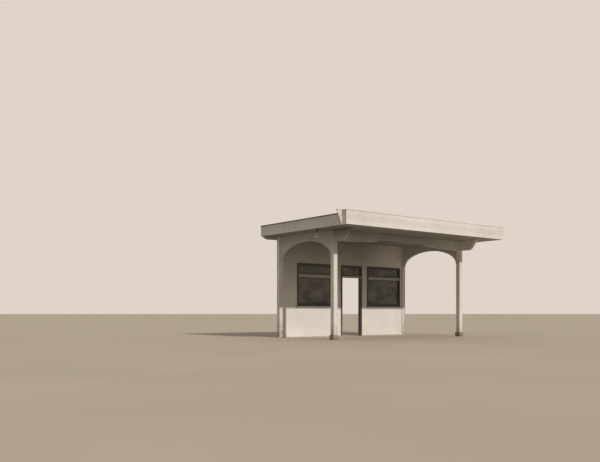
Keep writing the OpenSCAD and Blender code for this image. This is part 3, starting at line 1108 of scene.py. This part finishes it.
@dataclass
class BoardedWall:
    """The nine pieces of the shop front: smooth close boards on both faces of a core.

    Attributes:
        pitch: height of a board.
        board: thickness of a board.
        ease: width of the eased edges along and across a board.
        gap: how far the core lies behind the boards.
        core_ease: width of the core's eased edges.
        sliver: height up to which a cut board is left off.
        nodes: the wall's pieces, after their common start.
    """

    pitch: float = BOARD_PITCH
    board: float = 0.02
    ease: tuple[float, float, float] = (0.0003, 0.0005, 0.0005)
    gap: float = 0.0002
    core_ease: float = 0.001
    sliver: float = 0.004
    nodes: tuple[str, ...] = (
        "left_pier", "middle_pier", "door_pier", "right_pier", "under_left_window", "under_right_window",
        "over_left_window", "over_right_window", "over_door",
    )

    def piece(self, node: str) -> None:
        """One piece of the wall: the front boards, the same boards on the back, and a core.

        Course n of the whole wall runs from n to n + 1 times the pitch, and is cut to the piece.

        Args:
            node: its solid.
        """
        (x0, y0, z0), (x1, y1, z1) = span(node)
        feet = self.pitch * np.arange(math.floor(z0 / self.pitch), math.ceil(z1 / self.pitch))
        bottom, top = np.maximum(feet, z0), np.minimum(feet + self.pitch, z1)
        kept = top - bottom > self.sliver
        course = (bottom[kept], top[kept])
        faces = ((y0, y0 + self.board), (y1 - self.board, y1))
        parts = [boards((x0, x1), y, course, self.ease) for y in faces]
        inner = self.board + self.gap
        parts.append(boards((x0, x1), (y0 + inner, y1 - inner), (z0, z1), self.core_ease))
        make(node + "_boards", join(parts), Finish.WALL, node)

    def build(self) -> None:
        """Makes the nine pieces."""
        for name in self.nodes:
            self.piece("wall_" + name)


@dataclass
class Joinery:
    """The window frames, the door frame, the sills and the glass.

    Attributes:
        width: width of the frame members.
        transom: height of the transoms' undersides.
        drop: how far a window's transom laps the glass below it.
        bead: size of the glazing beads.
        bead_ease: width of their eased edges.
        arris: width of the eased arrises.
        glass: thickness of the glass.
        groove: width of the drip groove under a sill, and its distance from the nosing.
        groove_depth: its depth.
        groove_slant: run of its slanting sides.
        sill_ease: width of a sill's eased edges.
    """

    width: float = 0.06
    transom: float = 2.07
    drop: float = 0.045
    bead: float = 0.014
    bead_ease: float = 0.004
    arris: float = 0.003
    glass: float = 0.006
    groove: float = 0.012
    groove_depth: float = 0.006
    groove_slant: float = 0.003
    sill_ease: float = 0.0014

    def frame(self, node: str, rail: bool) -> None:
        """A frame: jambs, head, a transom of a lighter tone, and four beads on each face of each light.

        Args:
            node: its solid.
            rail: whether it has a rail at its foot and a light under its transom, as a window has.
        """
        box, w = span(node), self.width
        (x0, y0, z0), (x1, y1, z1) = box
        inner = (x0 + w, x1 - w)
        foot, top = self.transom - (self.drop if rail else 0.0), self.transom + w
        bars = surround((x0, x1), (z0, z1), w)[:4 if rail else 3]
        left, right, bottom, head = np.array([*bars, (*inner, foot, top)]).T
        tones = np.append(np.zeros(len(bars)), 1.0)
        parts = [boards((left, right), (y0, y1), (bottom, head), self.arris, tones)]
        near = box.middle[1] + np.array([[-self.glass / 2.0 - self.bead], [self.glass / 2.0]])
        for light in [(top, z1 - w)] + ([(z0 + w, foot)] if rail else []):
            left, right, bottom, head = surround(inner, light, self.bead).T
            parts.append(boards((left, right), (near, near + self.bead), (bottom, head), self.bead_ease, 0.0))
        make(node + "_timber", join(parts), Finish.JOINERY, node)

    def sill(self, node: str) -> None:
        """A sill with a weathered top, a square nosing and a drip groove under it.

        Args:
            node: its solid.
        """
        (x0, front, foot), (x1, back, top) = span(node)
        start, end, roof = front + self.groove, front + 2.0 * self.groove, foot + self.groove_depth
        outline = np.array([[back, top], [front, (foot + top) / 2.0], [front, foot], [start, foot],
                            [start + self.groove_slant, roof], [end - self.groove_slant, roof],
                            [end, foot], [back, foot]])
        make(node + "_timber", prism(outline, Axis.X, (x0, x1), self.sill_ease), Finish.SILL, node)

    def build(self) -> None:
        """Makes the frames and the sills, and gives the glass its finish."""
        for side in SIDES:
            self.frame("window_frame_" + side, True)
            self.sill("window_sill_" + side)
            dress("window_glass_" + side, Finish.GLASS)
        self.frame("door_frame", False)
        dress("fanlight_glass", Finish.GLASS)


@dataclass
class Soffit:
    """The matchboards under the roof and under the space behind the sign board.

    Attributes:
        pitch: width of a board.
        vee: half the width of the groove between two boards.
        depth: depth of the groove.
    """

    pitch: float = 0.11
    vee: float = 0.004
    depth: float = 0.005

    def strip(self, x: Pair, y: Pair, z: Pair) -> Shell:
        """Boards that run along Y, with a groove at each joint.

        Args:
            x: where the strip starts and stops along X.
            y: where it starts and stops along Y.
            z: its underside and its top.

        Returns:
            The shell.
        """
        first, last = math.ceil((x[0] + self.vee) / self.pitch), math.ceil((x[1] - self.vee) / self.pitch)
        joints = self.pitch * np.arange(first, last)
        grooves = np.stack([joints - self.vee, joints, joints + self.vee], 1).ravel()
        under = np.stack([grooves, np.tile([z[0], z[0] + self.depth, z[0]], len(joints))], 1)
        outline = np.concatenate([[[x[0], z[0]]], under, [[x[1], z[0]], [x[1], z[1]], [x[0], z[1]]]])
        return bar(outline, Axis.Y, y)

    def build(self) -> None:
        """Makes the lining, in strips that end at the wall, at its corner posts or at the rear fascia."""
        (x0, y0, z0), (x1, y1, z1) = span("soffit_lining")
        front, wall, post = span("fascia_front"), span("wall_left_pier").low, span("corner_post_left").low
        edges = [x0, post[0], wall[0], -wall[0], -post[0], x1]
        stops = [y1, post[1], wall[1], post[1], y1]
        parts = [self.strip(x, (front.high[1], stop), (z0, z1)) for *x, stop in zip(edges, edges[1:], stops)]
        parts.append(self.strip((x0, x1), (y0, front.low[1]), (z0, z1)))
        make("soffit_boards", join(parts), Finish.SOFFIT, "soffit_lining")


@dataclass
class Roof:
    """The corrugated sheeting with its nails, and the rafters.

    Attributes:
        pitch: width of a corrugation.
        depth: depth of the corrugations.
        gauge: thickness of the sheet.
        lie: how far the middle of the corrugations lies below the top of the solid.
        sheets: number of sheets side by side.
        samples: stations to a corrugation.
        lap: how many corrugations a sheet laps the next.
        lift: how far the lap lifts a sheet's edge.
        stations: stations down the roof.
        dome: profile of a nail head over its crest.
        dome_faces: faces round a nail head.
        nail_step: how many corrugations lie between two nails of a row.
        nail_inset: how far a row's end nails stay inside the roof, in these steps.
        nail_rows: number of rows of nails down the roof.
        margins: distance of the first and the last row of nails from the edges of the roof.
        seed: seed of the sheets' tones.
    """

    pitch: float = CORRUGATION
    depth: float = 0.016
    gauge: float = 0.001
    lie: float = 0.009
    sheets: int = 10
    samples: int = 12
    lap: float = 1.5
    lift: float = 0.0012
    stations: int = 6
    dome: Profile = ((0.009, -0.001), (0.009, 0.0), (0.0063, 0.0018), (0.001, 0.0026))
    dome_faces: int = 8
    nail_step: int = 3
    nail_inset: float = 0.2
    nail_rows: int = 5
    margins: tuple[float, float] = (0.08, 0.12)
    seed: int = 7

    def plane(self, y: float | np.ndarray) -> float | np.ndarray:
        """Height of the middle of the sheeting: a straight line down to the back.

        Args:
            y: one or more places along Y.

        Returns:
            The height at each.
        """
        low, high = span("roof_sheeting")
        rear = span("fascia_rear")
        slope = (high[2] - rear.high[2] - 2.0 * self.lie) / (rear.low[1] - low[1])
        return high[2] - self.lie - slope * (y - low[1])

    def sheet(self, x0: float, x1: float, tone: float) -> Shell:
        """One sheet: the plane plus half the depth times the cosine of the place along X.

        Args:
            x0: its lifted edge.
            x1: its other edge.
            tone: its tone.

        Returns:
            The shell.
        """
        low, high = span("roof_sheeting")
        x = np.linspace(x0, x1, int(round((x1 - x0) / self.pitch * self.samples)) + 1)
        y = np.linspace(low[1] + self.gauge, high[1], self.stations)[:, None]
        wave = (self.depth - self.gauge) / 2.0 * np.cos(2.0 * np.pi * x / self.pitch)
        raised = self.lift * np.clip(1.0 - (x - x0) / (2.0 * self.pitch), 0.0, 1.0)
        upper = self.plane(y) + wave + raised + self.gauge / 2.0
        heights = np.concatenate([upper, upper[:, ::-1] - self.gauge], 1)
        across = np.stack([np.broadcast_to([*x, *x[::-1]], heights.shape), heights], -1)
        return tube(to_frame(across, y, Axis.Y), tone=tone)

    def nails(self) -> Shell:
        """Domed heads on the crests, in rows over the battens.

        Returns:
            The shell of all the heads.
        """
        low, high = span("roof_sheeting")
        step, inset = self.nail_step * self.pitch, self.nail_inset
        crests = step * np.arange(math.ceil(low[0] / step + inset), math.floor(high[0] / step - inset) + 1)
        rows = np.linspace(low[1] + self.margins[0], high[1] - self.margins[1], self.nail_rows)
        heads = []
        for y in rows:
            dome = self.dome + np.array([0.0, self.plane(y) + self.depth / 2.0])
            heads += [lathe(dome, np.array([x, y]), self.dome_faces) for x in crests]
        return join(heads)

    def build(self) -> None:
        """Makes the sheets and the nails, and gives the rafters their finish."""
        low, high = span("roof_sheeting")
        starts = np.linspace(low[0], high[0], self.sheets + 1)
        tones = np.random.default_rng(self.seed).uniform(0.0, 1.0, self.sheets)
        over = self.lap * self.pitch
        parts = [self.sheet(a, min(b + over, high[0]), tone) for a, b, tone in zip(starts, starts[1:], tones)]
        make("roof_sheets", join(parts), Finish.IRON, "roof_sheeting")
        make("roof_nails", self.nails(), Finish.NAIL)
        dress("rafters", Finish.RAFTER)


@dataclass
class Fascias:
    """The planked fascias, the sign board with its returns, and the cappings.

    Attributes:
        planks: number of planks in a side fascia.
        sign_planks: number of planks in the sign board.
        ease: width of the eased edges.
        nose: width of the eased edges of a capping.
        rake: run of the raked cut at each end of the rear fascia.
        shy: how far the rear fascia stays below the top of its solid.
        shades: lowest and highest tone of a plank.
        front_seed: seed of the front fascia's tones.
        side_seeds: seeds of the side fascias' tones.
        sign_seed: seed of the sign board's tones.
        return_seeds: seeds of its returns' tones.
    """

    planks: int = 2
    sign_planks: int = 3
    ease: float = 0.0022
    nose: float = 0.005
    rake: float = 0.165
    shy: float = 0.001
    shades: tuple[float, float] = (0.35, 0.75)
    front_seed: int = 11
    side_seeds: tuple[int, int] = (21, 22)
    sign_seed: int = 31
    return_seeds: tuple[int, int] = (41, 42)

    def tones(self, count: int, seed: int) -> np.ndarray:
        """A tone for each of some planks."""
        return np.random.default_rng(seed).uniform(*self.shades, count)

    def planked(self, box: Span, count: int, seed: int) -> Shell:
        """A board made of planks one over the other.

        Args:
            box: the board's box.
            count: number of planks.
            seed: seed of their tones.

        Returns:
            The shell.
        """
        (x0, y0, z0), (x1, y1, z1) = box
        edges = np.linspace(z0, z1, count + 1)
        return boards((x0, x1), (y0, y1), (edges[:-1], edges[1:]), self.ease, self.tones(count, seed))

    def flared(self) -> None:
        """The front fascia: planks whose ends lean out in one straight line."""
        (_, y0, z0), (x1, y1, z1) = span("fascia_front")
        foot = span("sign_board").high[0]
        edges = np.linspace(z0, z1, self.sign_planks + 1)
        reach = foot + (x1 - foot) * (edges - z0) / (z1 - z0)
        parts = []
        for i, tone in enumerate(self.tones(self.sign_planks, self.front_seed)):
            outline = np.array([[-reach[i], edges[i]], [reach[i], edges[i]],
                                [reach[i + 1], edges[i + 1]], [-reach[i + 1], edges[i + 1]]])
            parts.append(prism(outline, Axis.Y, (y0, y1), self.ease, tone))
        make("fascia_front_planks", join(parts), Finish.FRONT, "fascia_front")

    def rear(self) -> None:
        """The rear fascia: one wide plank, with raked ends below the soffit."""
        (x0, y0, z0), (x1, y1, z1) = span("fascia_rear")
        soffit, top = span("soffit_lining").low[2], z1 - self.shy
        outline = np.array([[x0, soffit], [x0 + self.rake, z0], [x1 - self.rake, z0],
                            [x1, soffit], [x1, top], [x0, top]])
        make("fascia_rear_plank", prism(outline, Axis.Y, (y0, y1), self.ease), Finish.REAR, "fascia_rear")

    def capping(self) -> None:
        """The front capping in one plan over the sign board and the flared fascia, and the side cappings."""
        (x0, y0, z0), (x1, y1, z1) = span("capping_front")
        sign, side = span("sign_board"), span("fascia_left")
        lap = sign.low[1] - y0
        half, step = sign.high[0] + lap, span("fascia_front").low[1] - lap
        plan = np.array([[-half, y0], [half, y0], [half, step], [x1, step], [x1, y1], [x0, y1],
                         [x0, step], [-half, step]])
        make("capping_front_board", prism(plan, Axis.Z, (z0, z1), self.nose), Finish.FRONT, "capping_front")
        (x0, y0, z0), (x1, y1, z1) = span("capping_sides")
        width = 2.0 * (side.half[0] + lap)
        shell = boards(([x0, x1 - width], [x0 + width, x1]), (y0, y1), (z0, z1), self.nose)
        make("capping_sides_boards", shell, Finish.CAPPING, "capping_sides")

    def build(self) -> None:
        """Makes the fascias, the sign board and the cappings."""
        for side, seed in zip(SIDES, self.side_seeds):
            node = "fascia_" + side
            make(node + "_planks", self.planked(span(node), self.planks, seed), Finish.FASCIA, node)
        board = self.planked(span("sign_board"), self.sign_planks, self.sign_seed)
        make("sign_board_planks", board, Finish.SIGN, "sign_board")
        low, high = span("sign_returns")
        between = [high[0] - low[0] - 2.0 * span("fascia_left").half[0], 0.0, 0.0]
        ends = (Span(low, high - between), Span(low + between, high))
        parts = [self.planked(end, self.sign_planks, seed) for end, seed in zip(ends, self.return_seeds)]
        make("sign_returns_planks", join(parts), Finish.FASCIA, "sign_returns")
        self.flared()
        self.rear()
        self.capping()


@dataclass
class RainWater:
    """The half-round gutter with its straps and unions, and the downpipe with its collars and clips.

    Attributes:
        wall: thickness of the metal as it shows.
        slack: how far the gutter's parts stay inside the solid.
        strap: thickness of a gutter strap.
        strap_width: width of a strap.
        straps: number of straps.
        margin: distance of the first and the last strap from the gutter's ends.
        lengths: number of lengths of gutter.
        union: half the width of the union over a joint.
        plate: thickness of an end plate.
        inset: how far the end plates lie inside the gutter's ends.
        hub: inner radius of an end plate.
        arc: stations round the half ring.
        roll: radius of the rolled front edge.
        roll_faces: faces round it.
        pipe_lengths: number of lengths of pipe.
        collar: profile of a collar, from the outline of the solid and the head of its length of pipe.
        clip: height of a clip.
        band: half the thickness and half the height of its band.
        foot: half the width of its foot, and the foot's thickness.
        stem: half the width of its stem.
        clip_ease: width of the eased edges of foot and stem.
        segments: faces round the pipe.
    """

    wall: float = 0.002
    slack: float = 0.0005
    strap: float = 0.0035
    strap_width: float = 0.026
    straps: int = 9
    margin: float = 0.2
    lengths: int = 4
    union: float = 0.03
    plate: float = 0.0025
    inset: float = 0.0006
    hub: float = 0.001
    arc: int = 25
    roll: float = 0.0045
    roll_faces: int = 16
    pipe_lengths: int = 3
    collar: Profile = ((-0.003, -0.07), (0.0, -0.066), (0.0, -0.056), (-0.0012, -0.05), (-0.0012, -0.012),
                       (0.0, -0.008), (0.0, 0.0), (-0.003, 0.0))
    clip: float = 0.03
    band: tuple[float, float] = (0.002, 0.012)
    foot: tuple[float, float] = (0.015, 0.005)
    stem: float = 0.006
    clip_ease: float = 0.0015
    segments: int = 48

    def half_ring(self, outer: float, inner: float, ends: Pair) -> Shell:
        """Half a ring round the gutter's line, carried along X.

        The outline is an arc of the outer radius from side to side, and an arc of the inner radius back.

        Args:
            outer: its outer radius.
            inner: its inner radius.
            ends: where it starts and stops along X.

        Returns:
            The shell.
        """
        box = span("gutter")
        arc = circle(np.linspace(1.0, 2.0, self.arc))
        outline = np.concatenate([outer * arc, inner * arc[::-1]])
        return bar([box.middle[1], box.high[2]] + outline, Axis.X, ends)

    def gutter(self) -> None:
        """The gutter: its lengths, a rolled front edge, end plates, unions over the joints, and straps."""
        box = span("gutter")
        (x0, _, _), (x1, _, top) = box
        skin = box.half[1] - self.strap - self.slack
        parts = [self.half_ring(skin, skin - self.wall, (x0 + self.slack, x1 - self.slack))]
        half = self.union
        joints = np.linspace(x0, x1, self.lengths + 1)[1:-1]
        parts += [self.half_ring(skin + self.wall, skin, (x - half, x + half)) for x in joints]
        plates = (x0 + self.inset, x1 - self.inset - self.plate)
        parts += [self.half_ring(skin, self.hub, (x, x + self.plate)) for x in plates]
        centre = np.array([box.middle[1] + skin, top]) - self.roll
        roll = self.roll * circle(2.0 * np.arange(self.roll_faces) / self.roll_faces)
        parts.append(bar(centre + roll, Axis.X, (x0, x1)))
        half = self.strap_width / 2.0
        places = np.linspace(x0 + self.margin, x1 - self.margin, self.straps)
        parts += [self.half_ring(skin + self.strap, skin, (x - half, x + half)) for x in places]
        make("gutter_metalwork", join(parts), Finish.GUTTER, "gutter")

    def downpipe(self) -> None:
        """The downpipe: a thin wall all the way down, with a beaded collar at the head of each length."""
        box = span("downpipe")
        foot, top = box.low[2], box.high[2]
        collar = self.collar + np.array([box.half[0], 0.0])
        skin = collar[0, 0]
        parts = [lathe(rectangle((skin - self.wall, skin), (foot, top)), box.middle, self.segments, True)]
        heads = np.linspace(foot, top, self.pipe_lengths + 1)[1:]
        parts += [lathe(collar + [0.0, z], box.middle, self.segments, True) for z in heads]
        make("downpipe_metalwork", join(parts), Finish.GUTTER, "downpipe")

    def clips(self) -> None:
        """A band round the pipe, a foot on the wall and a stem between them for each clip."""
        low, high = span("pipe_clips")
        pipe = span("downpipe")
        x, y, _ = pipe.middle
        radius = pipe.half[0]
        thick, tall = self.band
        places = np.linspace(low[2] + self.clip / 2.0, high[2] - self.clip / 2.0, self.pipe_lengths)
        band = rectangle((radius - thick, radius + thick), (-tall, tall))
        parts = [lathe(band + [0.0, z], pipe.middle, self.segments, True) for z in places]
        for half, end in ((self.foot[0], low[1] + self.foot[1]), (self.stem, y - radius)):
            sides = (x - half, x + half)
            parts.append(boards(sides, (low[1], end), (places - half, places + half), self.clip_ease))
        make("pipe_clips_metalwork", join(parts), Finish.GUTTER, "pipe_clips")

    def build(self) -> None:
        """Makes the gutter, the pipe and the clips."""
        self.gutter()
        self.downpipe()
        self.clips()


@dataclass
class Lamps:
    """Two enamelled shades on stems under the soffit, each with its holder and bulb.

    Attributes:
        gauge: how far a shade's inner face lies inside and below its outer one.
        neck: radius of a shade's neck.
        hole: radius of the hole in it for the stem.
        cap: height of the neck.
        seat: how far the sheet round the hole reaches below the neck.
        stations: stations down a shade.
        hollow: share of a shade's fall that curves.
        roll: radius of the rolled rim.
        curl: where the rolled rim starts and ends, in half turns, and its stations.
        holder: profile of a lamp holder, from the top of its shade.
        throat: radius and height at which the bulb leaves the holder.
        bulb: half the width and half the height of the bulb.
        blunt: radius of the flat at its tip.
        turns: angles of the stations down the bulb, in half turns.
        hang: how far the bulb's middle lies below the top of the shade.
        stem_foot: profile of a stem and its collar, from the stem's foot.
        stem_head: profile of a stem and its rose, from the stem's head.
        segments: faces round the shade and round the rest.
    """

    gauge: tuple[float, float] = (0.0025, 0.001)
    neck: float = 0.022
    hole: float = 0.012
    cap: float = 0.012
    seat: float = 0.002
    stations: int = 18
    hollow: float = 0.22
    roll: float = 0.003
    curl: tuple[float, float, int] = (0.35, -1.25, 9)
    holder: Profile = ((0.012, -0.001), (0.017, -0.004), (0.017, -0.042), (0.015, -0.046))
    throat: tuple[float, float] = (0.0135, -0.043)
    bulb: tuple[float, float] = (0.027, 0.03)
    blunt: float = 0.001
    turns: tuple[float, ...] = (0.278, 0.214, 0.15, 0.086, 0.022, -0.042, -0.106, -0.17, -0.234, -0.298,
                                -0.426, -0.49)
    hang: float = 0.077
    stem_foot: Profile = ((0.004, 0.0), (0.014, 0.0), (0.014, 0.012), (0.008, 0.018))
    stem_head: Profile = ((0.008, -0.016), (0.013, -0.012), (0.034, -0.006), (0.034, 0.0), (0.004, 0.0))
    segments: tuple[int, int] = (56, 32)

    def shade(self, side: str) -> None:
        """A shade: a turned wall that falls from its neck in a slight hollow curve to a rolled rim.

        Args:
            side: left or right.
        """
        node = "lamp_shade_" + side
        box = span(node)
        top, foot, rim = box.high[2], box.low[2] + self.roll, box.half[0] - self.roll
        t = np.linspace(0.0, 1.0, self.stations)
        radius = self.neck + (rim - self.neck) * ((1.0 - self.hollow) * t + self.hollow * t * t)
        outside = np.stack([radius, top - self.cap - (top - self.cap - foot) * t], 1)
        roll = [rim, foot] + self.roll * circle(np.linspace(*self.curl))
        inside = (outside - self.gauge)[::-1]
        profile = np.array([(self.hole, top), (self.neck, top), *outside, *roll, *inside,
                            (self.hole, top - self.cap - self.seat)])
        make(node + "_enamel", lathe(profile, box.middle, self.segments[0], True), Finish.ENAMEL, node)

    def filling(self, side: str) -> None:
        """The lamp holder in a shade, and its bulb: most of an ellipse, blunt at the tip.

        Args:
            side: left or right.
        """
        box = span("lamp_shade_" + side)
        top = np.array([0.0, box.high[2]])
        make("lamp_holder_" + side, lathe(self.holder + top, box.middle, self.segments[1]), Finish.LAMP_METAL)
        glass = self.bulb * circle(np.array(self.turns)) + [self.blunt, -self.hang]
        bulb = np.array([self.throat, *glass]) + top
        make("lamp_bulb_" + side, lathe(bulb, box.middle, self.segments[1]), Finish.BULB)

    def stems(self) -> None:
        """The stems, each with a rose on the soffit and a collar on its shade."""
        low, high = span("lamp_stems")
        foot, head = np.array([0.0, low[2]]), np.array([0.0, high[2]])
        profile = np.concatenate([self.stem_foot + foot, self.stem_head + head])
        parts = [lathe(profile, span("lamp_shade_" + side).middle, self.segments[1]) for side in SIDES]
        make("lamp_stems_metalwork", join(parts), Finish.LAMP_METAL, "lamp_stems")

    def build(self) -> None:
        """Makes both lamps."""
        for side in SIDES:
            self.shade(side)
            self.filling(side)
        self.stems()


@dataclass
class Studio:
    """The pale floor, the light and the camera.

    Attributes:
        eye: place of the camera.
        look: the level direction it looks in.
        lens: focal length in millimetres.
        sensor: width of the sensor in millimetres.
        rise: shift that puts the horizon where the photograph has it.
        to_sun: the direction of the key light.
        sun: strength of the key light.
        disc: how wide the key light looks, in degrees.
        sky: strength of the light from all round.
        contrast: gamma of the view; below 1 it deepens the shade, as an old print does.
        floor: half the width of the floor.
        pale: what the camera sees beyond the floor.
        ground: colour of the floor.
        tint: colour of the key light.
        haze: colour of the light from all round.
    """

    eye: tuple[float, float, float] = (-17.101, -17.41, 0.785)
    look: tuple[float, float, float] = (0.614, 0.789, 0.0)
    lens: float = 43.5
    sensor: float = 36.0
    rise: float = 0.138
    to_sun: tuple[float, float, float] = (-0.05, -1.0, 0.58)
    sun: float = 2.05
    disc: float = 1.0
    sky: float = 0.45
    contrast: float = 0.7
    floor: float = 2500.0
    pale: Colour = (0.81, 0.745, 0.68)
    ground: Colour = (0.71, 0.63, 0.52)
    tint: Colour = (1.0, 0.97, 0.92)
    haze: Colour = (1.0, 0.99, 0.97)

    def key(self) -> None:
        """The key light."""
        lamp = bpy.data.lights.new("key", "SUN")
        lamp.energy = self.sun
        lamp.angle = math.radians(self.disc)
        lamp.color = self.tint
        put("key", lamp).rotation_euler = Vector(self.to_sun).to_track_quat("Z", "Y").to_euler()

    def glow(self) -> None:
        """An even glow from all round, which the camera sees as a pale backdrop."""
        world = bpy.data.worlds.new("glow")
        world.use_nodes = True
        nodes, links = world.node_tree.nodes, world.node_tree.links
        nodes.clear()
        either = nodes.new("ShaderNodeMixShader")
        links.new(nodes.new("ShaderNodeLightPath").outputs["Is Camera Ray"], either.inputs[0])
        for number, (colour, strength) in enumerate(((self.haze, self.sky), (self.pale, 1.0)), 1):
            light = nodes.new("ShaderNodeBackground")
            light.inputs[0].default_value = (*colour, 1.0)
            light.inputs[1].default_value = strength
            links.new(light.outputs[0], either.inputs[number])
        links.new(either.outputs[0], nodes.new("ShaderNodeOutputWorld").inputs[0])
        bpy.context.scene.world = world

    def ground_plane(self) -> None:
        """The floor: one level square with a soft, slightly uneven tone."""
        mesh = bpy.data.meshes.new("floor")
        corners = rectangle((-self.floor, self.floor), (-self.floor, self.floor))
        mesh.from_pydata([(x, y, 0.0) for x, y in corners], [], [(0, 1, 2, 3)])
        r = Recipe("floor")
        colour = r.varied(self.ground, r.noise(0.35, detail=3.0), dark=0.97, light=1.03)
        mesh.materials.append(r.finish(colour, rough=0.9))
        put("floor", mesh)

    def camera(self) -> None:
        """The camera, level, at the photograph's place and angle."""
        data = bpy.data.cameras.new("camera")
        data.lens = self.lens
        data.sensor_width = self.sensor
        data.shift_y = self.rise
        data.clip_end = 2.0 * self.floor
        eye = put("camera", data)
        eye.location = self.eye
        eye.rotation_euler = Vector(self.look).to_track_quat("-Z", "Y").to_euler()
        bpy.context.scene.camera = eye

    def build(self) -> None:
        """Makes the view, the light, the floor and the camera."""
        view = bpy.context.scene.view_settings
        view.view_transform = "Standard"
        view.gamma = self.contrast
        self.key()
        self.glow()
        self.ground_plane()
        self.camera()


def main() -> None:
    """Builds every sub-assembly in order."""
    logging.basicConfig(level=logging.INFO, format="%(name)s: %(message)s")
    for part in (Posts(), BoxedTimbers(), BoardedWall(), Joinery(), Soffit(), Roof(), Fascias(),
                 RainWater(), Lamps(), Studio()):
        part.build()


if __name__ == "__main__":
    main()
